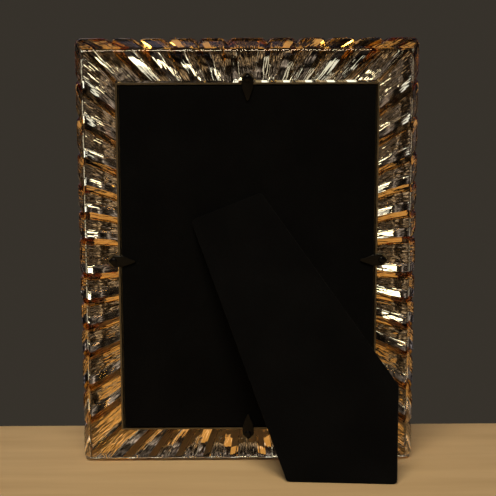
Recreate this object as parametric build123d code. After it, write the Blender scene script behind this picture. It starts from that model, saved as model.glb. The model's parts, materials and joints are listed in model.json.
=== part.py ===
from build123d import *
import math
import os

# A pressed-glass photo frame that stands on a hinged leg. It is drawn lying on its face:
# X is to the right and Y is up, both as seen from the back, and Z goes through the
# thickness, from the front below to the back above. X and Y are zero in the middle of the
# opening, and Z is zero at the lip, the edge of the glass round the opening at the back.

# The print and what is stacked behind it
photo_width = 127.0
photo_height = 177.8
photo_thickness = 0.3
pane_thickness = 2.0
pane_play = 1.2
card_thickness = 2.9

# Back board, a stiff core with velvet glued over its back and its edges
board_thickness = 3.0
board_play = 1.0
board_proud = 0.4
velvet_thickness = 0.4

# Metal liner of the opening, an angle strip with an ear folded out in the middle of each side
liner_sheet = 0.8
liner_flange = 4.0
ear_width = 6.0
ear_length = 5.0
ear_bevel = 1.6

# Glass border, cut across: distances out from the wall of the rebate, depths in front of the lip
border_width = 20.5
ledge_width = 5.0
land_width = 6.0
back_fall = 1.6
hollow_share = 0.33
wall_flare = 4.0
rim_depth = 11.0
rim_bevel = 1.5
crown_depth = 16.3
crown_out = 7.0
front_radius = 50.0
sight_bevel = 0.8
arris_radius = 2.4
corner_radius = 4.0

# Ribs of the border: the grooves between them, the notches where these cross the rim, and
# where they stand, as shares of half the frame's width or height. The grooves on the mitres
# of the corners are shallower, with the same slope
groove_depth = 1.95
groove_width = 6.8
mitre_groove_depth = 0.8
notch_depth = 2.1
notch_width = 4.2
row_notch_shares = (0.116, 0.291, 0.470, 0.644, 0.806)
column_notch_shares = (0.090, 0.220, 0.351, 0.490, 0.656, 0.823)
row_fan_share = 0.70
column_fan_share = 0.82

# Turn buttons on the ears, and the studs that they turn on
button_sheet = 0.8
button_width = 5.8
button_blade = 12.4
button_tail = 3.0
button_shoulder = 4.5
button_gap = 0.15
stud_inset = 2.3
stud_radius = 0.8
stud_clearance = 0.06
stud_head_radius = 1.7
stud_head_height = 0.6

# How the frame stands: the lean of the glass, and the skim that its ribs and foot rest on
lean_angle = 12.4
rest_skim = 0.3

# Leg, a stiff core with velvet over its back and edges and a facing inside. Its hinge is
# slanted, and it is drawn in its own axes: X along the hinge, Y up and Z out, all from the pin
hinge_slant = 22.0
hinge_across = -8.1
hinge_above_middle = 21.5
leg_thickness = 2.3
facing_thickness = 0.3
leg_head_width = 38.0
leg_flare_angle = 14.4
foot_inset = 8.4
leg_corner_radius = 2.4
heel_gap = 0.3

# Hinge of the leg: two leaves, their knuckles and rivets, and the pin
pin_radius = 0.75
pin_clearance = 0.05
leaf_sheet = 0.6
leaf_length = 13.0
leaf_bevel = 2.4
knuckle_length = 8.0
knuckle_count = 3
knuckle_gap = 0.2
knuckle_lift = 0.3
leaf_rivet_spread = 13.0
leaf_rivet_drop = 8.0
rivet_radius = 0.8
rivet_head_radius = 1.6
rivet_head_height = 0.5
rivet_play = 0.03

# How far a cutting tool runs past what it cuts
overrun = 3.0

# Sizes that follow
rebate_depth = (
    liner_sheet + pane_thickness + photo_thickness + card_thickness
    + board_thickness + velvet_thickness - board_proud
)
opening_width = photo_width + 2 * (pane_play + liner_sheet)
opening_height = photo_height + 2 * (pane_play + liner_sheet)
outer_width = opening_width + 2 * border_width
outer_height = opening_height + 2 * border_width
board_width = opening_width - 2 * (liner_sheet + board_play)
board_height = opening_height - 2 * (liner_sheet + board_play)
stud_play_radius = stud_radius + stud_clearance
button_bottom = liner_sheet + button_gap
button_top = button_bottom + button_sheet
knuckle_radius = pin_radius + pin_clearance + leaf_sheet
axis_height = knuckle_radius + knuckle_lift
axis_depth = board_proud + axis_height
hinge_length = knuckle_count * knuckle_length

# The leg opens until its foot lies level on the ground although its hinge is slanted
lean = math.radians(lean_angle)
slant = math.radians(hinge_slant)
leg_opening = 2 * math.atan(math.tan(lean) / math.cos(slant))
heel_length = (
    axis_height * math.cos(leg_opening) + axis_height - heel_gap
) / math.sin(leg_opening)
ground_level = (
    rim_depth * math.sin(lean) - outer_height / 2 * math.cos(lean) + rest_skim
)

# Places: the back view turned upright and leaned back onto the ground, and the leg's own axes
seen_from_back = Plane(origin=(0, 0, 0), x_dir=(-1, 0, 0), z_dir=(0, 1, 0)).location
leaning = Pos(0, 0, -ground_level) * Rot(X=-lean_angle) * seen_from_back
hinge_place = Pos(hinge_across, hinge_above_middle, axis_depth) * Rot(Z=hinge_slant)
open_leg = hinge_place * Rot(X=-math.degrees(leg_opening))


def slab(width, height, low, high):
    """A sheet centred on the opening, from one depth to another."""
    return extrude(Pos(0, 0, low) * Rectangle(width, height), amount=high - low)


def front_depth(out):
    """How far in front of the lip the curved front lies, this far out from the rebate."""
    rise = math.sqrt(front_radius**2 - (out - crown_out) ** 2)
    return crown_depth - front_radius + rise


def border_section():
    """The glass border cut across, X out from the wall of the rebate and Y its depth."""
    lip = (0, 0)
    land = (land_width, 0)
    arris = (border_width - wall_flare, -back_fall)
    hollow = (land[0] / 2 + arris[0] / 2, -back_fall * hollow_share)
    rim_back = (border_width, -rim_depth)
    rim_front = (border_width, -front_depth(border_width))
    crown = (crown_out, -crown_depth)
    sight = (-ledge_width, -front_depth(-ledge_width))
    ledge = (-ledge_width, -rebate_depth)
    rebate = (0, -rebate_depth)
    outline = [
        Line(lip, land),
        ThreePointArc(land, hollow, arris),
        Polyline(arris, rim_back, rim_front),
        ThreePointArc(rim_front, crown, sight),
        Polyline(sight, ledge, rebate, lip),
    ]
    section = make_face(Curve() + outline)
    for corner, bevel in ((rim_front, rim_bevel), (sight, sight_bevel)):
        vertex = section.vertices().sort_by_distance(Vector(*corner))[0]
        section = chamfer(vertex, bevel)
    vertex = section.vertices().sort_by_distance(Vector(*arris))[0]
    return fillet(vertex, arris_radius)


def front_groove(reach, at_rim, at_lip, depth):
    """The tools for one groove of the front, whose bottom is bent like the front itself."""

    def bottom(out):
        along = at_lip + (at_rim - at_lip) * out / border_width
        return Vector(along, reach + out, depth - front_depth(out))

    start = bottom(-ledge_width - overrun)
    end = bottom(border_width + overrun)
    front = -crown_depth - overrun
    web = make_face(
        Curve() + [
            ThreePointArc(start, bottom(crown_out), end),
            Polyline(end, (end.X, end.Y, front), (start.X, start.Y, front), start),
        ]
    )
    run = Vector(end.X - start.X, end.Y - start.Y, 0).normalized()
    tools = []
    for side in (-groove_width / 2, groove_width / 2):
        flank = Vector(run.Y * side, -run.X * side, -groove_depth)
        long = flank.length * (groove_depth + overrun) / groove_depth
        tools.append(extrude(web, amount=long, dir=flank.normalized()))
    return tools


def rim_notch(reach, at_rim):
    """The tool for one notch of the rim, cut through the thickness."""
    mouth = notch_depth + overrun
    half = notch_width / 2 * mouth / notch_depth
    section = make_face(Polyline((0, 0), (half, mouth), (-half, mouth), close=True))
    bottom = Pos(at_rim, reach + border_width - notch_depth, -crown_depth - overrun)
    return extrude(bottom * section, amount=crown_depth + 2 * overrun)


def border_side(reach, half_side, notches, fan_share):
    """One side of the glass, ribbed and mitred, drawn as the top one."""
    across = Plane(origin=(0, reach, 0), x_dir=(0, 1, 0), z_dir=(1, 0, 0))
    bar = extrude(
        across * border_section(), amount=half_side + border_width, both=True
    )
    inner = ledge_width + overrun
    outer = border_width + overrun
    mitre = Polygon(
        (inner - half_side, reach - inner),
        (half_side - inner, reach - inner),
        (half_side + outer, reach + outer),
        (-half_side - outer, reach + outer),
        align=None,
    )
    side = bar & extrude(
        Pos(0, 0, -crown_depth - overrun) * mitre, amount=crown_depth + 2 * overrun
    )
    for notch in notches:
        for at_rim in (notch, -notch):
            side -= front_groove(reach, at_rim, at_rim * fan_share, groove_depth)
            side -= rim_notch(reach, at_rim)
    for end in (1, -1):
        at_rim = end * (half_side + border_width)
        side -= front_groove(reach, at_rim, end * half_side, mitre_groove_depth)
    return side


def glass_frame():
    """The pressed-glass border, with a rib between every two grooves."""
    row = border_side(
        opening_height / 2,
        opening_width / 2,
        [share * outer_width / 2 for share in row_notch_shares],
        row_fan_share,
    )
    column = border_side(
        opening_width / 2,
        opening_height / 2,
        [share * outer_height / 2 for share in column_notch_shares],
        column_fan_share,
    )
    ring = row + Rot(Z=90) * column + Rot(Z=180) * row + Rot(Z=270) * column
    outline = RectangleRounded(outer_width, outer_height, corner_radius)
    ring &= extrude(
        Pos(0, 0, -crown_depth - overrun) * outline, amount=crown_depth + 2 * overrun
    )
    return ring - below_ground()


def below_ground():
    """Everything under the surface that the frame stands on, in the drawing's own place."""
    size = 2 * outer_height
    return leaning.inverse() * Pos(0, 0, -size / 2) * Box(size, size, size)


def side_places():
    """The middle of the lip on each side, turned so that Y points out over the glass."""
    return {
        "top": Pos(0, opening_height / 2, 0),
        "left": Pos(-opening_width / 2, 0, 0) * Rot(Z=90),
        "bottom": Pos(0, -opening_height / 2, 0) * Rot(Z=180),
        "right": Pos(opening_width / 2, 0, 0) * Rot(Z=270),
    }


def liner_frame():
    """The angle strip in the rebate, which carries the pane and the turn buttons."""
    wall = slab(opening_width, opening_height, -rebate_depth, 0)
    wall -= slab(
        opening_width - 2 * liner_sheet,
        opening_height - 2 * liner_sheet,
        liner_sheet - rebate_depth,
        overrun,
    )
    wall -= slab(
        opening_width - 2 * liner_flange,
        opening_height - 2 * liner_flange,
        -rebate_depth - overrun,
        0,
    )
    long = ear_length + liner_sheet
    ear = Pos(0, long / 2 - liner_sheet, 0) * Rectangle(ear_width, long)
    end = ear.vertices().group_by(Axis.Y)[-1]
    ear = extrude(chamfer(end, ear_bevel), amount=liner_sheet)
    ear -= Pos(0, stud_inset, 0) * Cylinder(
        stud_radius, 2 * liner_sheet + overrun
    )
    for place in side_places().values():
        wall += place * ear
    return wall


def turn_button():
    """One pointed blade, drawn as the top one with its stud at the origin of X and Y."""
    half = button_width / 2
    outline = Polygon(
        (0, button_tail),
        (-half, 0),
        (-half, -button_shoulder),
        (0, -button_blade),
        (half, -button_shoulder),
        (half, 0),
        align=None,
    )
    blade = extrude(Pos(0, 0, button_bottom) * outline, amount=button_sheet)
    return blade - Cylinder(stud_play_radius, 2 * button_top + overrun)


def button_stud():
    """The stud of one button: a shank through the ear and a flat head."""
    head_bottom = button_top + button_gap
    shank = extrude(Circle(stud_radius), amount=head_bottom)
    head = extrude(
        Pos(0, 0, head_bottom) * Circle(stud_head_radius), amount=stud_head_height
    )
    return shank + head


def stud_places():
    """Where each button turns."""
    return {
        name: place * Pos(0, stud_inset, 0) for name, place in side_places().items()
    }


def leaf_rivet_places(up):
    """The rivets of one leaf, in the leg's axes."""
    return [
        Pos(across, -leaf_rivet_drop, up)
        for across in (-leaf_rivet_spread / 2, leaf_rivet_spread / 2)
    ]


def rivet(length):
    """A flat-headed rivet, its head above and its shank going down from zero."""
    head = extrude(Circle(rivet_head_radius), amount=rivet_head_height)
    return head + extrude(Circle(rivet_radius), amount=-length)


def rivet_holes(places):
    """Holes for rivets at these places, through whatever they are taken from."""
    deep = 2 * (axis_depth + board_thickness + leg_thickness)
    return [place * Cylinder(rivet_radius + rivet_play, deep) for place in places]


def board_core():
    """The stiff board that closes the back."""
    inset = 2 * velvet_thickness
    core = slab(
        board_width - inset,
        board_height - inset,
        board_proud - velvet_thickness - board_thickness,
        board_proud - velvet_thickness,
    )
    return core - rivet_holes([hinge_place * p for p in leaf_rivet_places(0)])


def board_velvet():
    """The velvet over the back and the edges of the board."""
    inset = 2 * velvet_thickness
    bottom = board_proud - velvet_thickness - board_thickness
    cover = slab(board_width, board_height, bottom, board_proud)
    cover -= slab(
        board_width - inset,
        board_height - inset,
        bottom - overrun,
        board_proud - velvet_thickness,
    )
    return cover - rivet_holes([hinge_place * p for p in leaf_rivet_places(0)])


def hinge_leaf(own, side):
    """A leaf and its knuckles, in the leg's axes: side is 1 on the leg and -1 on the board."""
    plate_top = -knuckle_radius - knuckle_lift
    plate = Pos(0, (plate_top - leaf_length) / 2, 0) * Rectangle(
        hinge_length, leaf_length + plate_top
    )
    ends = plate.vertices().group_by(Axis.Y)[0]
    inner = axis_height - leaf_sheet
    leaf = extrude(Pos(0, 0, inner) * chamfer(ends, leaf_bevel), amount=leaf_sheet)
    for number in own:
        middle = (number - (knuckle_count - 1) / 2) * knuckle_length
        width = knuckle_length - knuckle_gap
        tab = Pos(middle, plate_top / 2, inner + leaf_sheet / 2) * Box(
            width, -plate_top, leaf_sheet
        )
        barrel = Pos(middle, 0, 0) * Rot(Y=90) * Cylinder(knuckle_radius, width)
        leaf += tab + barrel
    leaf = leaf - rivet_holes(leaf_rivet_places(0))
    if side < 0:
        leaf = mirror(leaf, about=Plane.XY)
    return leaf


def hinge_board_leaf():
    """The leaf on the board, which holds the pin fast in its knuckles."""
    leaf = hinge_leaf(range(0, knuckle_count, 2), -1)
    return leaf - Rot(Y=90) * Cylinder(pin_radius, hinge_length + overrun)


def hinge_leg_leaf():
    """The leaf on the leg, which turns on the pin."""
    leaf = hinge_leaf(range(1, knuckle_count, 2), 1)
    return leaf - Rot(Y=90) * Cylinder(
        pin_radius + pin_clearance, hinge_length + overrun
    )


def hinge_pin():
    """The pin, as long as the row of knuckles."""
    return Rot(Y=90) * Cylinder(pin_radius, hinge_length - knuckle_gap)


def foot_drop():
    """How far down the leg its inner face meets the ground, less the skim."""
    def height(down):
        place = leaning * open_leg * Pos(0, -down, axis_height)
        return place.position.Z

    trial = outer_height / 2
    return trial * (height(0) + rest_skim) / (height(0) - height(trial))


def leg_outline():
    """The leg laid flat, in its own axes. Its two feet are level with the frame's sides."""
    half = leg_head_width / 2
    foot = foot_drop()
    side = outer_width / 2 - foot_inset - hinge_across
    flare = math.radians(leg_flare_angle)

    def at_side(x, y):
        """How far a point of the leg still is from the side foot's line."""
        return side - (x * math.cos(slant) - y * math.sin(slant))

    knee_run = at_side(half, heel_length) / math.sin(slant + flare)
    knee = (
        half + knee_run * math.sin(flare),
        heel_length - knee_run * math.cos(flare),
    )
    bottom_left = (-half, -foot + half * math.tan(slant))
    # along the bottom foot a point goes right and down by the slant
    toe_run = at_side(*bottom_left)
    toe = (
        bottom_left[0] + toe_run * math.cos(slant),
        bottom_left[1] - toe_run * math.sin(slant),
    )
    outline = Polygon(
        (half, heel_length), (-half, heel_length), bottom_left, toe, knee, align=None
    )
    return fillet(outline.vertices(), leg_corner_radius)


def leg_layer(outline, low, high):
    """One layer of the leg, between two distances from the pin."""
    return extrude(Pos(0, 0, low) * outline, amount=high - low)


def leg_core():
    """The stiff core of the leg."""
    inside = axis_height + facing_thickness
    core = leg_layer(
        offset(leg_outline(), -velvet_thickness), inside, inside + leg_thickness
    )
    return core - rivet_holes(leaf_rivet_places(inside))


def leg_velvet():
    """The velvet over the back and the edges of the leg."""
    inside = axis_height + facing_thickness
    outside = inside + leg_thickness
    cover = leg_layer(leg_outline(), axis_height, outside + velvet_thickness)
    return cover - leg_layer(
        offset(leg_outline(), -velvet_thickness), axis_height - overrun, outside
    )


def leg_facing():
    """The facing that closes the inner side of the leg, inside the turned velvet edges."""
    inside = axis_height + facing_thickness
    facing = leg_layer(
        offset(leg_outline(), -velvet_thickness), axis_height, inside
    )
    return facing - rivet_holes(leaf_rivet_places(inside))


def board_leaf_rivets():
    """The rivets that hold the hinge to the board."""
    length = leaf_sheet + velvet_thickness + board_thickness
    return [
        place * rivet(length) for place in leaf_rivet_places(leaf_sheet - axis_height)
    ]


def leg_leaf_rivets():
    """The rivets that hold the hinge to the leg."""
    length = leaf_sheet + facing_thickness + leg_thickness
    return [
        place * Rot(X=180) * rivet(length)
        for place in leaf_rivet_places(axis_height - leaf_sheet)
    ]


def pieces():
    """Every piece in the drawing's place, with the leg open as the frame stands on it."""
    flange_top = liner_sheet - rebate_depth
    pane_top = flange_top + pane_thickness
    photo_top = pane_top + photo_thickness
    card_top = photo_top + card_thickness
    made = {
        "glass_frame": glass_frame(),
        "liner_frame": liner_frame(),
        "glazing_pane": slab(photo_width, photo_height, flange_top, pane_top),
        "photo_insert": slab(photo_width, photo_height, pane_top, photo_top),
        "backing_card": slab(photo_width, photo_height, photo_top, card_top),
        "board_core": board_core(),
        "board_velvet": board_velvet(),
        "hinge_board_leaf": hinge_place * hinge_board_leaf(),
        "hinge_pin": hinge_place * hinge_pin(),
        "board_leaf_rivets": [hinge_place * one for one in board_leaf_rivets()],
        "hinge_leg_leaf": open_leg * hinge_leg_leaf(),
        "leg_leaf_rivets": [open_leg * one for one in leg_leaf_rivets()],
        "leg_core": open_leg * leg_core() - below_ground(),
        "leg_velvet": open_leg * leg_velvet() - below_ground(),
        "leg_facing": open_leg * leg_facing() - below_ground(),
        "button_studs": [place * button_stud() for place in stud_places().values()],
    }
    for name, place in stud_places().items():
        made[f"turn_button_{name}"] = place * turn_button()
    return made


def as_one(made):
    """A piece as one shape, where it is a group of like pieces too."""
    solids = made if isinstance(made, list) else [made]
    return Compound([solid for shape in solids for solid in shape.solids()])


drawn = {name: leaning * as_one(made) for name, made in pieces().items()}
bounds = Compound(list(drawn.values())).bounding_box()
centring = Pos(-(bounds.min.X + bounds.max.X) / 2, -(bounds.min.Y + bounds.max.Y) / 2, 0)
standing = centring * leaning

os.makedirs("parts", exist_ok=True)
for name, shape in drawn.items():
    export_step(centring * shape, f"parts/{name}.step")
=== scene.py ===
"""The looks of the pressed-glass photo frame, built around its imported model.

Places on the frame are in millimetres from the middle of the opening at the level of the lip.
Seen from behind, U is to the right, V is up and W is towards the viewer. The frame leans, so
these axes do too. Places in the room are in metres, in the model's own axes.
"""
import json
import math

import bmesh
import bpy
import numpy as np
from mathutils import Matrix, Vector


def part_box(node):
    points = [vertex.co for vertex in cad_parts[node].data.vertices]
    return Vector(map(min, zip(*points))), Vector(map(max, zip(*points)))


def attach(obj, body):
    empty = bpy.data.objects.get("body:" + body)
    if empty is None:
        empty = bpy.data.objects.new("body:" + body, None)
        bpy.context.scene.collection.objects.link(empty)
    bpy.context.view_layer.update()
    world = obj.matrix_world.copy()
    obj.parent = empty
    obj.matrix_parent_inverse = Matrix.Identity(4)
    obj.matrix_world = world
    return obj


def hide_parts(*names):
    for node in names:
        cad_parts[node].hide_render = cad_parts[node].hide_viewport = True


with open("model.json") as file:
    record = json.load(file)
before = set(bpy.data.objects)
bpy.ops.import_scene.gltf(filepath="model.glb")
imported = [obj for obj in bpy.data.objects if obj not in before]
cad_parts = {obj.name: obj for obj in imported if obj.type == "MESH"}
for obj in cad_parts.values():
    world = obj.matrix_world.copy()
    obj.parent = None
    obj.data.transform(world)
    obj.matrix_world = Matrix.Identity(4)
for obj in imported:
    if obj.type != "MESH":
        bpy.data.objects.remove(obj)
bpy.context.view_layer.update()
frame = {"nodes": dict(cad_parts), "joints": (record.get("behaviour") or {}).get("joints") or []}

MM = 0.001

# The frame's own axes, found from the middle of its pane, which lies at a known level of W
LEAN = math.radians(12.4)
PANE_LEVEL = -7.2
pane_low, pane_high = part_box("glazing_pane")
AXIS_U = np.array([-1.0, 0.0, 0.0])
AXIS_V = np.array([0.0, math.sin(LEAN), math.cos(LEAN)])
AXIS_W = np.array([0.0, math.cos(LEAN), -math.sin(LEAN)])
ORIGIN = np.array((pane_low + pane_high) / 2) - PANE_LEVEL * MM * AXIS_W

# The way that the leg's back faces at rest. Closed, it faces as the frame's back does
hinge = next(joint for joint in frame["joints"] if joint["child"] == "leg")
LEG_OPENING = math.radians(-hinge["range_deg"][0])
LEG_OUTWARD = np.array(Matrix.Rotation(LEG_OPENING, 3, Vector(hinge["axis"])) @ Vector(AXIS_W))


def place(points):
    """Points given as U, V, W in millimetres, in the model's own axes and metres."""
    points = np.asarray(points, float) * MM
    return ORIGIN + points @ np.array([AXIS_U, AXIS_V, AXIS_W])


def add_object(name, data):
    """An object with this data, in the scene."""
    added = bpy.data.objects.new(name, data)
    bpy.context.scene.collection.objects.link(added)
    return added


def smooth(mesh, sharp_angle):
    """Make a mesh smooth, with edges that stay sharp from this angle on."""
    mesh.shade_smooth()
    mesh.set_sharp_from_angle(angle=math.radians(sharp_angle))


def new_piece(name, verts, faces, material, sharp_angle=None):
    """A mesh object with one material, flat-faced unless it has an angle to be smooth up to."""
    mesh = bpy.data.meshes.new(name)
    mesh.from_pydata([tuple(v) for v in verts], [], [tuple(f) for f in faces])
    mesh.validate()
    mesh.materials.append(material)
    if sharp_angle is not None:
        smooth(mesh, sharp_angle)
    return add_object(name, mesh)


# Materials. Textures are sized in the object's own metres

# The fine streaks that the mould has left along the ribs of the glass, and the names of the two
# attributes of its mesh that they follow
STREAK_WIDTH = 1.4
STREAK_LENGTH = 7.0
STREAK_HEIGHT = 0.5
RIB_MAP = "ribs"
PRESSED = "pressed"


def new_material(name):
    """A material with its node tree and its main shader."""
    material = bpy.data.materials.new(name)
    material.use_nodes = True
    tree = material.node_tree
    return material, tree, tree.nodes["Principled BSDF"]


def set_inputs(node, values):
    """Set a node's inputs by their names."""
    for name, value in values.items():
        node.inputs[name].default_value = value


def noise(tree, scale, detail=3.0, roughness=0.5, distortion=0.0, stretch=None, source=None):
    """The value of a noise texture, stretched and on other coordinates if asked."""
    if source is None:
        source = tree.nodes.new("ShaderNodeTexCoord").outputs["Object"]
    if stretch:
        mapping = tree.nodes.new("ShaderNodeMapping")
        mapping.inputs["Scale"].default_value = stretch
        tree.links.new(source, mapping.inputs["Vector"])
        source = mapping.outputs["Vector"]
    texture = tree.nodes.new("ShaderNodeTexNoise")
    set_inputs(texture, {
        "Scale": scale, "Detail": detail, "Roughness": roughness, "Distortion": distortion,
    })
    tree.links.new(source, texture.inputs["Vector"])
    return texture.outputs["Fac"]


def multiply(tree, first, second, kind="ShaderNodeMath"):
    """The product of two values, or of two colours with the vector kind of node."""
    node = tree.nodes.new(kind)
    node.operation = "MULTIPLY"
    tree.links.new(first, node.inputs[0])
    tree.links.new(second, node.inputs[1])
    return node.outputs[0]


def ramp(tree, value, stops):
    """The colour that a value picks between stops, each a position and its colour."""
    node = tree.nodes.new("ShaderNodeValToRGB")
    while len(node.color_ramp.elements) < len(stops):
        node.color_ramp.elements.new(0.5)
    for element, (position, colour) in zip(node.color_ramp.elements, stops):
        element.position = position
        element.color = (*colour, 1.0)
    tree.links.new(value, node.inputs["Fac"])
    return node.outputs["Color"]


def bump(tree, shader, value, strength, distance):
    """Let a value from 0 to 1 raise the surface by up to a distance in metres."""
    node = tree.nodes.new("ShaderNodeBump")
    set_inputs(node, {"Strength": strength, "Distance": distance})
    tree.links.new(value, node.inputs["Height"])
    tree.links.new(node.outputs["Normal"], shader.inputs["Normal"])


def uneven_gloss(tree, shader, value, roughness):
    """Let a value move the roughness between its lowest and its highest."""
    node = tree.nodes.new("ShaderNodeMapRange")
    set_inputs(node, {"To Min": roughness[0], "To Max": roughness[1]})
    tree.links.new(value, node.inputs["Value"])
    tree.links.new(node.outputs["Result"], shader.inputs["Roughness"])


def new_glass(name, colour, ior, haze_scale, haze_detail, most_haze):
    """Smooth glass with a faint, uneven haze."""
    material, tree, shader = new_material(name)
    set_inputs(shader, {"Base Color": (*colour, 1.0), "Transmission Weight": 1.0, "IOR": ior})
    haze = noise(tree, haze_scale, detail=haze_detail)
    uneven_gloss(tree, shader, haze, roughness=(0.0, most_haze))
    return material, tree, shader


def amber_glass():
    """Amber pressed glass, tinted by the way that the light goes through it, with its streaks."""
    material, tree, shader = new_glass(
        "amber_glass", (1.0, 0.985, 0.95), ior=1.52, haze_scale=260.0, haze_detail=1.0, most_haze=0.03,
    )
    shader.inputs["Specular Tint"].default_value = (0.45, 0.42, 0.40, 1.0)
    rib_map = tree.nodes.new("ShaderNodeUVMap")
    rib_map.uv_map = RIB_MAP
    streaks = noise(
        tree, 1.0, detail=1.5, roughness=0.45, distortion=0.35,
        stretch=(1.0 / STREAK_WIDTH, 1.0 / STREAK_LENGTH, 1.0), source=rib_map.outputs["UV"],
    )
    pressed = tree.nodes.new("ShaderNodeAttribute")
    pressed.attribute_name = PRESSED
    relief = multiply(tree, streaks, pressed.outputs["Fac"])
    bump(tree, shader, relief, strength=1.0, distance=STREAK_HEIGHT * MM)
    body = tree.nodes.new("ShaderNodeVolumeAbsorption")
    set_inputs(body, {"Color": (0.94, 0.75, 0.26, 1.0), "Density": 85.0})
    tree.links.new(body.outputs["Volume"], tree.nodes["Material Output"].inputs["Volume"])
    return material


def clear_glass():
    """The flat glass over the print, partly transparent so that light reaches the print."""
    material, _, shader = new_glass(
        "clear_glass", (0.97, 0.99, 0.98), ior=1.5, haze_scale=40.0, haze_detail=3.0, most_haze=0.02,
    )
    shader.inputs["Alpha"].default_value = 0.3
    return material


def velvet():
    """Short-pile black velvet with an uneven nap."""
    material, tree, shader = new_material("black_velvet")
    nap = noise(tree, 900.0, detail=4.0, roughness=0.7)
    patches = noise(tree, 35.0)
    tone = ramp(tree, multiply(tree, nap, patches), [
        (0.15, (0.0005, 0.0005, 0.0007)),
        (0.5, (0.0024, 0.0026, 0.0031)),
    ])
    tree.links.new(tone, shader.inputs["Base Color"])
    set_inputs(shader, {
        "Roughness": 0.95,
        "Specular IOR Level": 0.08,
        "Sheen Weight": 0.03,
        "Sheen Roughness": 0.35,
        "Sheen Tint": (0.8, 0.8, 0.85, 1.0),
    })
    bump(tree, shader, nap, strength=0.5, distance=0.3 * MM)
    return material


def black_paper():
    """The black lining paper on the inner side of the leg."""
    material, tree, shader = new_material("black_paper")
    fibres = noise(tree, 500.0, detail=4.0)
    tone = ramp(tree, fibres, [(0.3, (0.006, 0.006, 0.006)), (0.8, (0.014, 0.013, 0.013))])
    tree.links.new(tone, shader.inputs["Base Color"])
    uneven_gloss(tree, shader, fibres, roughness=(0.6, 0.9))
    bump(tree, shader, fibres, strength=0.4, distance=0.1 * MM)
    return material


def metal(name, base, worn, roughness, enamelled=False):
    """A bare or enamelled metal that is worn a little in places."""
    material, tree, shader = new_material(name)
    wear = noise(tree, 180.0, detail=5.0, roughness=0.65)
    tone = ramp(tree, wear, [(0.35, base), (0.75, worn)])
    tree.links.new(tone, shader.inputs["Base Color"])
    set_inputs(shader, {
        "Metallic": 0.0 if enamelled else 1.0,
        "Specular IOR Level": 0.15 if enamelled else 0.5,
    })
    uneven_gloss(tree, shader, wear, roughness)
    bump(tree, shader, wear, strength=0.15, distance=0.1 * MM)
    return material


def paper(name, low, high, scale):
    """Paper or board with its fibres."""
    material, tree, shader = new_material(name)
    fibres = noise(tree, scale, detail=6.0, roughness=0.7)
    tone = ramp(tree, fibres, [(0.25, low), (0.8, high)])
    tree.links.new(tone, shader.inputs["Base Color"])
    shader.inputs["Roughness"].default_value = 0.85
    bump(tree, shader, fibres, strength=0.3, distance=0.1 * MM)
    return material


# The glass border. Distances out are from the wall of the rebate, and depths are in front of the lip

# Its section, with a gap that keeps it off the metal of the liner and the pane
OPENING = (131.0, 181.8)
BORDER = 20.5
LEDGE = 5.0
REBATE_DEPTH = 9.0
LAND = 6.0
BACK_FALL = 1.6
BACK_FALL_POWER = 1.7
WALL_FLARE = 4.0
RIM_DEPTH = 11.0
CROWN_DEPTH = 16.3
CROWN_OUT = 7.0
FRONT_RADIUS = 50.0
ARRIS_RADIUS = 2.4
RIM_BACK_RADIUS = 0.5
RIM_FRONT_RADIUS = 1.8
SIGHT_RADIUS = 0.8
AIR_GAP = 0.1

# Its outline and its grooves, which fan out to the notches of the rim. The shares give the place
# of each notch along half a side, and how far each groove has come in where it crosses the lip
CORNER_RADIUS = 4.0
GROOVE_DEPTH = 1.95
GROOVE_WIDTH = 6.8
MITRE_GROOVE_DEPTH = 0.8
NOTCH_DEPTH = 2.1
NOTCH_WIDTH = 4.2
ROW_NOTCH_SHARES = (0.116, 0.291, 0.470, 0.644, 0.806)
COLUMN_NOTCH_SHARES = (0.090, 0.220, 0.351, 0.490, 0.656, 0.823)
ROW_FAN_SHARE = 0.70
COLUMN_FAN_SHARE = 0.82
EDGE_SOFTNESS = 0.35
NOTCH_SOFTNESS = 0.7

# The waves of its pressed face, and how much of them and of the streaks the grooves' flanks keep
WAVE_HEIGHT = 0.055
WAVE_LENGTHS = (2.6, 6.5)
WAVE_COUNT = 14
WAVE_SEED = 7
FLANK_SHARE = 0.22

# How finely it is drawn: the lines of a rib lie closer at its grooves than if they were spaced evenly
LINES_PER_RIB = 30
EVEN_SHARE = 0.45
HOLLOW_POINTS = 12
CROWN_POINTS = 56
CORNER_STEPS = 161


def front_depth(out):
    """How far in front of the lip the crowned front lies."""
    return CROWN_DEPTH - FRONT_RADIUS + np.sqrt(FRONT_RADIUS**2 - (out - CROWN_OUT) ** 2)


def soft_max(a, b, width):
    """The higher of two values, rounded over a width where they cross."""
    return (a + b + np.sqrt((a - b) ** 2 + width**2)) / 2


def soft_min(a, b, width):
    """The lower of two values, rounded over a width where they cross."""
    return (a + b - np.sqrt((a - b) ** 2 + width**2)) / 2


def rounded(before, corner, after, radius, count):
    """The points of a rounded corner between two straight runs."""
    corner = np.array(corner, float)
    back = np.array(before, float) - corner
    on = np.array(after, float) - corner
    back /= np.linalg.norm(back)
    on /= np.linalg.norm(on)
    half = math.acos(float(np.clip(back @ on, -1, 1))) / 2
    middle = corner + (back + on) / np.linalg.norm(back + on) * radius / math.sin(half)
    start = corner + back * radius / math.tan(half) - middle
    end = corner + on * radius / math.tan(half) - middle
    turn = math.atan2(start[0] * end[1] - start[1] * end[0], float(start @ end))
    angles = np.linspace(0, turn, count)
    c, s = np.cos(angles), np.sin(angles)
    across = middle[0] + c * start[0] - s * start[1]
    up = middle[1] + s * start[0] + c * start[1]
    return np.stack([across, up], 1)


def run(start, end, count):
    """Evenly spaced points after the first and before the last of a straight run."""
    share = np.linspace(0, 1, count + 2)[1:-1, None]
    return np.array(start, float) * (1 - share) + np.array(end, float) * share


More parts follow.
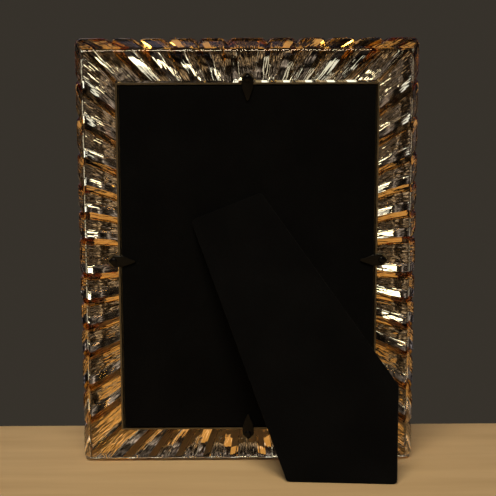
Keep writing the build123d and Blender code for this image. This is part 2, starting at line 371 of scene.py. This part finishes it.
def border_section():
    """The border cut across: distance out, level of W, and 1 where a point is on the front."""
    lip = (AIR_GAP, -AIR_GAP / 2)
    land = (LAND, -AIR_GAP / 2)
    arris = (BORDER - WALL_FLARE, -BACK_FALL)
    rim_back = (BORDER, -RIM_DEPTH)
    rim_front = (BORDER, -float(front_depth(BORDER)))
    sight = (-LEDGE, -float(front_depth(-LEDGE)))
    ledge = (-LEDGE, -REBATE_DEPTH - AIR_GAP)
    rebate = (AIR_GAP, -REBATE_DEPTH - AIR_GAP)
    # The hollow and the crown stop short of the rounds at their ends
    fall = np.linspace(0, 1, HOLLOW_POINTS)[1:-3, None]
    hollow = np.hstack([
        land[0] + (arris[0] - land[0]) * fall,
        land[1] + (arris[1] - land[1]) * fall**BACK_FALL_POWER,
    ])
    outs = np.linspace(BORDER, -LEDGE, CROWN_POINTS)[3:-2]
    crown = np.stack([outs, -front_depth(outs)], 1)
    back = np.concatenate([
        np.array([lip]),
        run(lip, land, count=5),
        hollow,
        rounded(hollow[-1], arris, rim_back, ARRIS_RADIUS, count=8),
        run(arris, rim_back, count=9)[1:],
        rounded(arris, rim_back, rim_front, RIM_BACK_RADIUS, count=4),
    ])
    front = np.concatenate([
        rounded(rim_back, rim_front, crown[0], RIM_FRONT_RADIUS, count=7),
        crown,
        rounded(crown[-1], sight, ledge, SIGHT_RADIUS, count=5),
    ])
    inside = np.concatenate([
        run(sight, ledge, count=4)[1:],
        np.array([ledge]),
        run(ledge, rebate, count=4),
        np.array([rebate]),
        run(rebate, lip, count=7),
    ])
    points = np.concatenate([back, front, inside])
    is_front = np.concatenate([np.zeros(len(back)), np.ones(len(front)), np.zeros(len(inside))])
    return points[:, 0], points[:, 1], is_front


def waves(u, v):
    """The unevenness of the pressed face: waves of many lengths and directions."""
    rng = np.random.default_rng(WAVE_SEED)
    height = np.zeros_like(u)
    for _ in range(WAVE_COUNT):
        length = rng.uniform(*WAVE_LENGTHS)
        angle = rng.uniform(0, 2 * math.pi)
        phase = rng.uniform(0, 2 * math.pi)
        along = u * math.cos(angle) + v * math.sin(angle)
        height += np.sin(along * 2 * math.pi / length + phase) * length / WAVE_LENGTHS[1]
    return height / math.sqrt(WAVE_COUNT / 2)


def side_lines(half_side, notch_shares, fan_share):
    """Where each line of one side's mesh crosses the rim and the lip, and where the grooves do."""
    half_outer = half_side + BORDER
    notches = [share * half_outer for share in notch_shares]
    grooves = [(notch, notch * fan_share) for notch in notches] + [(half_outer, half_side)]
    stations = [(-rim, -lip) for rim, lip in grooves[::-1]] + grooves
    even = np.linspace(0, 1, LINES_PER_RIB, endpoint=False)
    shares = EVEN_SHARE * even + (1 - EVEN_SHARE) * (1 - np.cos(np.pi * even)) / 2
    lines = []
    for (rim, lip), (next_rim, next_lip) in zip(stations, stations[1:]):
        lines += [(rim + (next_rim - rim) * t, lip + (next_lip - lip) * t) for t in shares]
    return np.array(lines), stations


def corner_limit(half_side, at_rim, at_lip):
    """How far out a line may go before it leaves the rounded corner of the rim."""
    centre = half_side + BORDER - CORNER_RADIUS
    rise = BORDER - CORNER_RADIUS
    outs = np.linspace(BORDER - 2 * CORNER_RADIUS, BORDER, CORNER_STEPS)
    along = np.abs(at_lip + (at_rim - at_lip) * outs / BORDER)
    aside = np.hypot(np.maximum(along - centre, 0), np.maximum(outs - rise, 0))
    beyond = aside > CORNER_RADIUS
    return outs[beyond][0] if beyond.any() else BORDER


def rim_limit(lines, stations, half_side):
    """How far out each line goes before it meets a notch or a rounded corner."""
    notches = np.array([rim for rim, _ in stations[1:-1]])
    cut = NOTCH_DEPTH - np.abs(lines[:, :1] - notches) * NOTCH_DEPTH / (NOTCH_WIDTH / 2)
    to_notch = BORDER - soft_max(cut.max(1), 0.0, NOTCH_SOFTNESS)
    to_corner = np.array([corner_limit(half_side, rim, lip) for rim, lip in lines])
    return np.minimum(to_notch, to_corner)[:, None]


def groove_depths(along, outs, stations):
    """How deep the grooves are cut at each point, which is negative on the ribs between them."""
    deepest = np.full(outs.shape, -np.inf)
    for k, (rim, lip) in enumerate(stations):
        slope = (rim - lip) / BORDER
        aside = np.abs(along - lip - slope * outs) / math.hypot(1, slope)
        depth = MITRE_GROOVE_DEPTH if k in (0, len(stations) - 1) else GROOVE_DEPTH
        deepest = np.maximum(deepest, depth - aside * GROOVE_DEPTH / (GROOVE_WIDTH / 2))
    return deepest


def border_side(reach, half_side, notch_shares, fan_share):
    """One side of the glass as a grid of points, drawn as the top one.

    It gives their places along, across and in W, how much of the unevenness each of them shows,
    and their places along the side and out that the streaks follow.
    """
    out, level, is_front = border_section()
    lines, stations = side_lines(half_side, notch_shares, fan_share)
    at_rim, at_lip = lines[:, :1], lines[:, 1:]
    shape = (len(lines), len(out))
    limit = rim_limit(lines, stations, half_side)
    outs = soft_min(np.broadcast_to(out, shape), limit, EDGE_SOFTNESS)
    along = at_lip + (at_rim - at_lip) * outs / BORDER
    grooves = groove_depths(along, outs, stations)
    grooved = soft_max(level, grooves - front_depth(outs), EDGE_SOFTNESS)
    levels = level + (grooved - level) * is_front
    pressed = is_front * np.where(grooves > 0, FLANK_SHARE, 1.0)
    rib = np.broadcast_to((at_rim + at_lip) / 2, shape)
    return along, reach + outs, levels, pressed, rib, outs


def border_grid():
    """The whole border as one grid that closes on itself, with the values of each side's points."""
    half_w, half_h = OPENING[0] / 2, OPENING[1] / 2
    row = border_side(half_h, half_w, ROW_NOTCH_SHARES, ROW_FAN_SHARE)
    column = border_side(half_w, half_h, COLUMN_NOTCH_SHARES, COLUMN_FAN_SHARE)
    sides = []
    for side, turn in ((row, 0), (column, 270), (row, 180), (column, 90)):
        along, across, levels, pressed, rib, out = side
        c, s = math.cos(math.radians(turn)), math.sin(math.radians(turn))
        u, v = c * along - s * across, s * along + c * across
        # The streaks of each side start elsewhere in their texture
        sides.append(np.stack([u, v, levels, pressed, rib + turn, out], 2))
    return np.moveaxis(np.concatenate(sides), 2, 0)


def glass_border(material):
    """The whole border, ribbed, fanned and notched, as one closed mesh."""
    u, v, w, pressed, rib, out = border_grid()
    w = w - WAVE_HEIGHT * waves(u, v) * pressed
    verts = place(np.stack([u, v, w], 2).reshape(-1, 3))
    # The bottom is ground flat where the frame stands on it
    verts[:, 2] = np.maximum(verts[:, 2], 0.0)
    lines, around = u.shape
    i, j = np.meshgrid(np.arange(lines), np.arange(around), indexing="ij")
    i1, j1 = (i + 1) % lines, (j + 1) % around
    corners = (i * around + j, i1 * around + j, i1 * around + j1, i * around + j1)
    faces = np.stack(corners, 2).reshape(-1, 4)
    border = new_piece("glass_border", verts, faces, material, sharp_angle=35)
    mesh = border.data
    mask = mesh.attributes.new(PRESSED, "FLOAT", "POINT")
    mask.data.foreach_set("value", pressed.ravel().astype(np.float32))
    vertex_of_loop = np.empty(len(mesh.loops), np.int32)
    mesh.loops.foreach_get("vertex_index", vertex_of_loop)
    on_rib = np.stack([rib, out], 2).reshape(-1, 2)[vertex_of_loop]
    rib_map = mesh.uv_layers.new(name=RIB_MAP)
    rib_map.data.foreach_set("uv", on_rib.astype(np.float32).ravel())
    return border


# The velvet covers

# Points of a CAD mesh that are nearer than this are joined, and so are faces that meet at less
# than this angle in degrees
WELD = 0.001
FLAT_ANGLE = 0.5

# An edge of a cover is rounded where it is level with the cover's outer face, has one wall, which
# leans less than the limit, and is at least this far from the cover's middle
COVER_ROUND = 0.5
LEVEL_TOLERANCE = 0.02
WALL_LEAN_LIMIT = 0.5
COVER_EDGE = 14.0

# The cloth that the two covers are cut from, in metres
BOARD_CLOTH = (0.134, 0.186)
LEG_CLOTH = (0.1, 0.158)


def welded(node):
    """A copy of a CAD node's mesh in which the faces share their points."""
    bm = bmesh.new()
    bm.from_mesh(frame["nodes"][node].data)
    bmesh.ops.remove_doubles(bm, verts=bm.verts, dist=WELD * MM)
    return bm


def outer_arrises(bm, outward):
    """The edges where a cover turns from its outer face down its outer walls."""
    points = np.array([tuple(vert.co) for vert in bm.verts])
    middle = Vector((points.min(0) + points.max(0)) / 2)
    top = max(vert.co @ outward for vert in bm.verts)
    arrises = []
    for edge in bm.edges:
        level = min(vert.co @ outward for vert in edge.verts)
        walls = [face for face in edge.link_faces if abs(face.normal @ outward) < WALL_LEAN_LIMIT]
        if top - level < LEVEL_TOLERANCE * MM and len(walls) == 1:
            halfway = sum((vert.co for vert in edge.verts), Vector()) / 2
            if walls[0].normal @ (halfway - middle) > COVER_EDGE * MM:
                arrises.append(edge)
    return arrises


def velvet_cover(name, node, outward, material):
    """Velvet stretched over a board's back and turned down its edges, rounded where it turns."""
    bm = welded(node)
    flat = math.radians(FLAT_ANGLE)
    bmesh.ops.dissolve_limit(bm, angle_limit=flat, verts=bm.verts, edges=bm.edges)
    bm.normal_update()
    bmesh.ops.bevel(
        bm, geom=outer_arrises(bm, Vector(outward)), offset=COVER_ROUND * MM, segments=5,
        profile=0.5, affect="EDGES", clamp_overlap=True,
    )
    mesh = bpy.data.meshes.new(name)
    bm.to_mesh(mesh)
    bm.free()
    mesh.materials.append(material)
    smooth(mesh, sharp_angle=45)
    return add_object(name, mesh)


# Turn buttons, studs and rivets

# A blade's outline, across and away from the opening, from the middle of its stud
BUTTON = [(0, 3.0), (-2.9, 0), (-2.9, -4.5), (0, -12.4), (2.9, -4.5), (2.9, 0)]
BUTTON_SHEET = 0.8
BUTTON_CORNER = 0.7
BUTTON_ROUND = 0.28
BUTTON_CHAMFER = 0.1
STUD_GAP = 0.15
STUD_FOOT = -0.95
# Domed heads by their radius and height. The shares give the foot's radius and the edge's height
STUD_HEAD = (1.7, 0.6)
RIVET_HEAD = (1.6, 0.5)
HEAD_FOOT_SHARE = 0.94
HEAD_EDGE_SHARE = 0.18
RIVET_SHANK = 0.8
TAIL_SHARE = 0.9
TAIL_DISH = 0.05
TAIL_CHAMFER = 0.1
TURNED_SEGMENTS = 32
ROUND_STEPS = 5


def inset(outline, normal, distance):
    """A flat outline moved inwards all round."""
    ahead = np.roll(outline, -1, 0) - outline
    ahead /= np.linalg.norm(ahead, axis=1)[:, None]
    inward = np.cross(normal, ahead)
    both = inward + np.roll(inward, 1, 0)
    both /= (both * inward).sum(1)[:, None]
    return outline + both * distance


def bridge(rings, count):
    """The faces between rings of the same number of points, one after another."""
    faces = []
    for r in range(rings - 1):
        for k in range(count):
            n = (k + 1) % count
            faces.append((r * count + k, r * count + n, (r + 1) * count + n, (r + 1) * count + k))
    return faces


def lathe(profile, origin, axis):
    """The points and faces of a turned form: its profile is radius and level, bottom first."""
    axis = Vector(axis).normalized()
    side = axis.orthogonal().normalized()
    other = axis.cross(side)
    verts, rings = [], []
    for radius, level in profile:
        count = TURNED_SEGMENTS if radius else 1
        rings.append(range(len(verts), len(verts) + count))
        for k in range(count):
            angle = 2 * math.pi * k / count
            spoke = side * math.cos(angle) + other * math.sin(angle)
            verts.append(Vector(origin) + spoke * radius * MM + axis * level * MM)
    faces = []
    for low, high in zip(rings, rings[1:]):
        for k in range(TURNED_SEGMENTS):
            n = (k + 1) % TURNED_SEGMENTS
            ends = [low[k % len(low)], low[n % len(low)], high[n % len(high)], high[k % len(high)]]
            # Where a ring is a single point, the face is a triangle
            faces.append(list(dict.fromkeys(ends)))
    return verts, faces


def domed(radius, height, base, steps=7):
    """The profile of a domed head, from its foot to its top."""
    profile = [(radius * HEAD_FOOT_SHARE, base), (radius, base + height * HEAD_EDGE_SHARE)]
    for k in range(1, steps):
        angle = math.pi / 2 * k / steps
        rise = HEAD_EDGE_SHARE + (1 - HEAD_EDGE_SHARE) * math.sin(angle)
        profile.append((radius * math.cos(angle), base + height * rise))
    return profile + [(0, base + height)]


def turned_group(name, places, profile, material):
    """Several like turned pieces as one object."""
    verts, faces = [], []
    for origin, axis in places:
        new_verts, new_faces = lathe(profile, origin, axis)
        faces += [[len(verts) + k for k in face] for face in new_faces]
        verts += new_verts
    return new_piece(name, verts, faces, material, sharp_angle=45)


def turn_button(joint, material):
    """One pointed blade with soft pressed edges. The stud's head would hide its hole, so it has none."""
    origin = np.array(joint["pos_m"], float)
    inward = ORIGIN - origin
    inward -= AXIS_W * (inward @ AXIS_W)
    inward /= np.linalg.norm(inward)
    across = np.cross(AXIS_W, inward)
    corners = []
    for k, corner in enumerate(BUTTON):
        before, after = BUTTON[k - 1], BUTTON[(k + 1) % len(BUTTON)]
        corners.append(rounded(before, corner, after, BUTTON_CORNER, count=ROUND_STEPS))
    flat = np.concatenate(corners)
    outline = origin + (flat[:, :1] * across - flat[:, 1:] * inward) * MM
    profile = [(BUTTON_CHAMFER, 0.0), (0.0, BUTTON_CHAMFER)]
    for angle in np.linspace(0, math.pi / 2, ROUND_STEPS):
        level = BUTTON_SHEET - BUTTON_ROUND * (1 - math.sin(angle))
        profile.append((BUTTON_ROUND * (1 - math.cos(angle)), level))
    rings = [inset(outline, AXIS_W, i * MM) + AXIS_W * level * MM for i, level in profile]
    count = len(outline)
    last = (len(rings) - 1) * count
    faces = bridge(len(rings), count)
    faces.append(tuple(range(last, last + count)))
    faces.append(tuple(range(count - 1, -1, -1)))
    name = joint["child"].replace("button", "blade")
    return new_piece(name, np.concatenate(rings), faces, material, sharp_angle=40)


def loose_parts(node):
    """The points of each separate solid of a CAD node."""
    bm = welded(node)
    seen, parts = set(), []
    for start in bm.verts:
        if start in seen:
            continue
        seen.add(start)
        queue, found = [start], []
        while queue:
            vert = queue.pop()
            found.append(np.array(vert.co))
            for edge in vert.link_edges:
                other = edge.other_vert(vert)
                if other not in seen:
                    seen.add(other)
                    queue.append(other)
        parts.append(np.array(found))
    bm.free()
    return parts


def rivets(name, node, head_way, material):
    """The rivets of one hinge leaf, with domed heads and clenched tails."""
    places = []
    for points in loose_parts(node):
        levels = points @ head_way
        middle = (points.min(0) + points.max(0)) / 2
        foot = middle + head_way * (levels.min() - middle @ head_way)
        places.append((foot, head_way))
    # The rivets of a leaf are all as long as its last one
    length = (levels.max() - levels.min()) / MM
    head = length - RIVET_HEAD[1]
    profile = [
        (0, TAIL_DISH), (RIVET_SHANK * TAIL_SHARE, 0.0),
        (RIVET_SHANK, TAIL_CHAMFER), (RIVET_SHANK, head),
    ]
    return turned_group(name, places, profile + domed(*RIVET_HEAD, base=head), material)


# The dressing of each piece

# How wide the edges of the CAD nodes that stay are rounded off
LINER_EDGE = 0.15
LEAF_EDGE = 0.12
PIN_EDGE = 0.15


def stand_in(piece, node, body):
    """Put a piece on its body in place of a CAD node."""
    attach(piece, body)
    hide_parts(node)


def dress_covers():
    """The velvet of the board and of the leg."""
    pile = velvet()
    for name, node, body, outward, core, cloth in (
        ("board_cover", "board_velvet", "root", AXIS_W, "board_core", BOARD_CLOTH),
        ("leg_cover", "leg_velvet", "leg", LEG_OUTWARD, "leg_core", LEG_CLOTH),
    ):
        cover = velvet_cover(name, node, outward, pile)
        stand_in(cover, node, body)


def dress_buttons(black):
    """The four turn buttons and the studs that they turn on."""
    turns = [joint for joint in frame["joints"] if joint["child"] != "leg"]
    for joint in turns:
        body = joint["child"]
        node = body.replace("button", "turn_button")
        stand_in(turn_button(joint, black), node, body)
    head = BUTTON_SHEET + STUD_GAP
    profile = [(0, STUD_FOOT), (RIVET_SHANK, STUD_FOOT), (RIVET_SHANK, head)]
    profile += domed(*STUD_HEAD, base=head)
    places = [(np.array(joint["pos_m"]), AXIS_W) for joint in turns]
    studs = turned_group("stud_heads", places, profile, black)
    stand_in(studs, "button_studs", "root")


def dress_rivets(black):
    """The rivets of the two hinge leaves, with their heads on the sides that face each other."""
    for name, node, body, way in (
        ("board_rivet_heads", "board_leaf_rivets", "root", AXIS_W),
        ("leg_rivet_heads", "leg_leaf_rivets", "leg", -LEG_OUTWARD),
    ):
        stand_in(rivets(name, node, way, black), node, body)


def refinish(node, material, edge=0.0):
    """Give a CAD node that stays its finish, and edges that catch the light."""
    piece = frame["nodes"][node]
    piece.data.materials.clear()
    piece.data.materials.append(material)
    if edge:
        soft = piece.modifiers.new("soft_edges", "BEVEL")
        soft.width = edge * MM
        soft.segments = 3
        soft.limit_method = "ANGLE"
        soft.angle_limit = math.radians(40)
        soft.use_clamp_overlap = True


def dress():
    """Every piece of the object, on its body, with its finish."""
    black = metal(
        "black_metal", base=(0.0015, 0.0015, 0.0017), worn=(0.004, 0.0038, 0.0035),
        roughness=(0.10, 0.20), enamelled=True,
    )
    steel = metal(
        "steel", base=(0.35, 0.35, 0.36), worn=(0.5, 0.49, 0.47), roughness=(0.25, 0.45),
    )
    brass = metal(
        "brass", base=(0.13, 0.115, 0.085), worn=(0.20, 0.175, 0.125), roughness=(0.3, 0.5),
    )
    insert = paper("insert_paper", low=(0.70, 0.67, 0.60), high=(0.80, 0.78, 0.73), scale=300.0)
    card = paper("card", low=(0.20, 0.15, 0.10), high=(0.33, 0.26, 0.18), scale=250.0)
    board = paper("fibreboard", low=(0.09, 0.06, 0.04), high=(0.18, 0.12, 0.07), scale=400.0)

    stand_in(glass_border(amber_glass()), "glass_frame", "root")
    dress_covers()
    dress_buttons(black)
    dress_rivets(black)

    refinish("liner_frame", brass, LINER_EDGE)
    refinish("hinge_board_leaf", black, LEAF_EDGE)
    refinish("hinge_leg_leaf", black, LEAF_EDGE)
    refinish("hinge_pin", steel, PIN_EDGE)
    refinish("glazing_pane", clear_glass())
    refinish("photo_insert", insert)
    refinish("backing_card", card)
    refinish("board_core", board)
    refinish("leg_core", board)
    refinish("leg_facing", black_paper())


# The room: a pale floor whose far edge lies beyond the frame, dim walls and soft lights, in metres

FLOOR_EDGE = -0.170
FLOOR_DEEP = 3.0
FLOOR_WIDE = 4.0
FLOOR_THICK = 0.005
FLOOR_UNDERCUT = 0.2

# The plain wall, the dim light that it casts on plain surfaces, and the uneven walls that the glass
# shows: stops of brightness, and tints between a low and a high direction of view
WALL_TONE = (0.0375, 0.0318, 0.0245)
SHADE_TONE = (0.010, 0.009, 0.008)
UNEVEN_STOPS = [
    (0.42, (0.002, 0.002, 0.002)), (0.52, (0.020, 0.020, 0.020)),
    (0.60, (0.12, 0.12, 0.12)), (0.70, (0.55, 0.55, 0.55)),
]
TINT_HEIGHTS = (-0.14, 0.08)
TINT_STOPS = [(0.0, (0.30, 0.23, 0.19)), (0.36, (1.0, 0.80, 0.70)), (1.0, (1.0, 0.98, 1.35))]

# Lamps: name, place, target, size, radiance of the face, colour, spread in degrees, and whether
# all surfaces get their light or only the plain ones
LAMPS = [
    ("key", (0.10, 1.1, 0.95), (0.0, -0.12, 0.0), (0.5, 0.7), 1.25, (1.0, 0.86, 0.62), 40, "all"),
    ("front_soft", (0.5, -1.7, 1.5), (0.0, 0.0, 0.1), (0.9, 0.7), 0.35, (1.0, 0.93, 0.85), 180, "all"),
    ("front_fill", (0.3, -2.0, -0.07), (0.0, -0.02, 0.11), (0.5, 0.10), 9.0, (1.0, 0.95, 0.88), 16, "plain"),
]

# Cards beyond the frame that face straight back towards the camera's side and show only through
# the glass: name, place, size, radiance and colour. The warm ones stand for a lit table
BLUE = (0.60, 0.72, 1.0)
COOL = (0.70, 0.78, 1.0)
PALE = (0.75, 0.80, 1.0)
WHITE = (0.80, 0.88, 1.0)
WARM = (1.0, 0.56, 0.20)
CARDS = [
    ("right_high", (-0.62, -1.2, 0.43), (0.3, 0.36), 0.7, COOL),
    ("right_low", (-0.62, -1.2, 0.12), (0.3, 0.24), 1.0, COOL),
    ("left_high", (0.66, -1.2, 0.40), (0.26, 0.30), 0.55, PALE),
    ("left_low", (0.66, -1.2, 0.12), (0.26, 0.24), 0.5, PALE),
    ("lip_glints", (-0.28, -0.62, 0.44), (0.16, 0.26), 2.5, BLUE),
    ("top_stripes", (0.005, -0.30, 0.270), (0.020, 0.045), 1.4, BLUE),
    ("mid_stripes", (-0.118, -0.62, 0.308), (0.065, 0.045), 1.4, BLUE),
    ("mid_right", (-0.25, -2.4, 0.62), (0.33, 0.16), 4.0, WHITE),
    ("low_right", (-0.49, -2.4, 0.575), (0.14, 0.08), 4.0, WHITE),
    ("warm_left", (0.66, -0.30, -0.0625), (1.2, 0.155), 0.60, WARM),
    ("warm_right", (-0.66, -0.30, -0.0625), (1.2, 0.155), 0.58, WARM),
]


def floor_material():
    """A plain pale floor, faintly mottled."""
    material, tree, shader = new_material("floor")
    mottle = noise(tree, 9.0, detail=4.0, stretch=(1.0, 4.0, 1.0))
    tone = ramp(tree, mottle, [(0.3, (0.70, 0.49, 0.27)), (0.75, (0.82, 0.60, 0.35))])
    tree.links.new(tone, shader.inputs["Base Color"])
    set_inputs(shader, {"Roughness": 0.7, "Specular IOR Level": 0.2})
    return material


def floor():
    """The floor as a slab, undercut along the far edge so that only its top shows there."""
    near = FLOOR_EDGE + FLOOR_DEEP
    section = [
        (FLOOR_EDGE + FLOOR_UNDERCUT, -FLOOR_THICK), (FLOOR_EDGE, 0.0),
        (near, -FLOOR_THICK), (near, 0.0),
    ]
    verts = [(x, y, z) for x in (-FLOOR_WIDE / 2, FLOOR_WIDE / 2) for y, z in section]
    faces = [(0, 1, 3, 2), (4, 6, 7, 5), (0, 4, 5, 1), (2, 3, 7, 6), (1, 5, 7, 3), (0, 2, 6, 4)]
    new_piece("floor", verts, faces, floor_material())


def soft_light(name, place_at, target, size, radiance, colour, spread, serves):
    """A rectangular soft light that looks at a point and doesn't show itself.

    It serves all surfaces, only the plain ones, or only what the glass lets through.
    """
    light = bpy.data.lights.new(name, "AREA")
    light.shape = "RECTANGLE"
    light.size, light.size_y = size
    light.energy = radiance * math.pi * size[0] * size[1]
    light.color = colour
    light.spread = math.radians(spread)
    lamp = add_object(name, light)
    lamp.location = place_at
    lamp.rotation_euler = (Vector(target) - Vector(place_at)).to_track_quat("-Z", "Y").to_euler()
    lamp.visible_camera = False
    lamp.visible_diffuse = serves != "glass"
    lamp.visible_glossy = serves == "all"
    lamp.visible_transmission = serves != "plain"


def room():
    """The world: a plain wall for the camera, a dim one for shade, and uneven ones for the glass."""
    world = bpy.data.worlds.new("room")
    world.use_nodes = True
    tree = world.node_tree
    coords = tree.nodes.new("ShaderNodeTexCoord").outputs["Generated"]
    cloudy = noise(tree, 12.0, detail=2.0, roughness=0.6, source=coords)
    split = tree.nodes.new("ShaderNodeSeparateXYZ")
    tree.links.new(coords, split.inputs["Vector"])
    height = tree.nodes.new("ShaderNodeMapRange")
    set_inputs(height, {"From Min": TINT_HEIGHTS[0], "From Max": TINT_HEIGHTS[1]})
    tree.links.new(split.outputs["Z"], height.inputs["Value"])
    brightness = ramp(tree, cloudy, UNEVEN_STOPS)
    tint = ramp(tree, height.outputs["Result"], TINT_STOPS)
    uneven = tree.nodes.new("ShaderNodeBackground")
    walls = multiply(tree, brightness, tint, kind="ShaderNodeVectorMath")
    tree.links.new(walls, uneven.inputs["Color"])
    shade_light = tree.nodes.new("ShaderNodeBackground")
    shade_light.inputs["Color"].default_value = (*SHADE_TONE, 1.0)
    plain = tree.nodes["Background"]
    plain.inputs["Color"].default_value = (*WALL_TONE, 1.0)
    path = tree.nodes.new("ShaderNodeLightPath")
    seen = uneven
    for ray, background in (("Is Diffuse Ray", shade_light), ("Is Camera Ray", plain)):
        mix = tree.nodes.new("ShaderNodeMixShader")
        tree.links.new(path.outputs[ray], mix.inputs["Fac"])
        tree.links.new(seen.outputs[0], mix.inputs[1])
        tree.links.new(background.outputs["Background"], mix.inputs[2])
        seen = mix
    tree.links.new(seen.outputs[0], tree.nodes["World Output"].inputs["Surface"])
    return world


def studio():
    """The room, its floor and its lights."""
    scene = bpy.context.scene
    scene.world = room()
    floor()
    for lamp in LAMPS:
        soft_light(*lamp)
    for name, place_at, size, radiance, colour in CARDS:
        ahead = (place_at[0], 0.0, place_at[2])
        soft_light(name, place_at, ahead, size, radiance, colour, spread=180, serves="glass")
    scene.view_settings.view_transform = "Standard"


# The camera, fitted to the corners of the frame in the photograph

CAMERA_AT = (0.0101, 0.9682, 0.1553)
CAMERA_PITCH = math.radians(2.53)
CAMERA_YAW = math.radians(0.60)
CAMERA_ROLL = math.radians(-0.25)
FOCAL_PIXELS = 1927.9
PICTURE_PIXELS = 496
SENSOR_WIDTH = 36.0


def camera():
    """The photograph's viewpoint, from behind the frame."""
    data = bpy.data.cameras.new("camera")
    data.sensor_width = SENSOR_WIDTH
    data.lens = FOCAL_PIXELS / PICTURE_PIXELS * SENSOR_WIDTH
    forward = Vector((
        -math.sin(CAMERA_YAW) * math.cos(CAMERA_PITCH),
        -math.cos(CAMERA_YAW) * math.cos(CAMERA_PITCH),
        -math.sin(CAMERA_PITCH),
    ))
    level = forward.cross(Vector((0, 0, 1))).normalized()
    upright = level.cross(forward)
    right = level * math.cos(CAMERA_ROLL) + upright * math.sin(CAMERA_ROLL)
    up = upright * math.cos(CAMERA_ROLL) - level * math.sin(CAMERA_ROLL)
    view = add_object("camera", data)
    turn = Matrix((right, up, -forward)).transposed().to_4x4()
    view.matrix_world = Matrix.Translation(CAMERA_AT) @ turn
    bpy.context.scene.camera = view


camera()
dress()
studio()
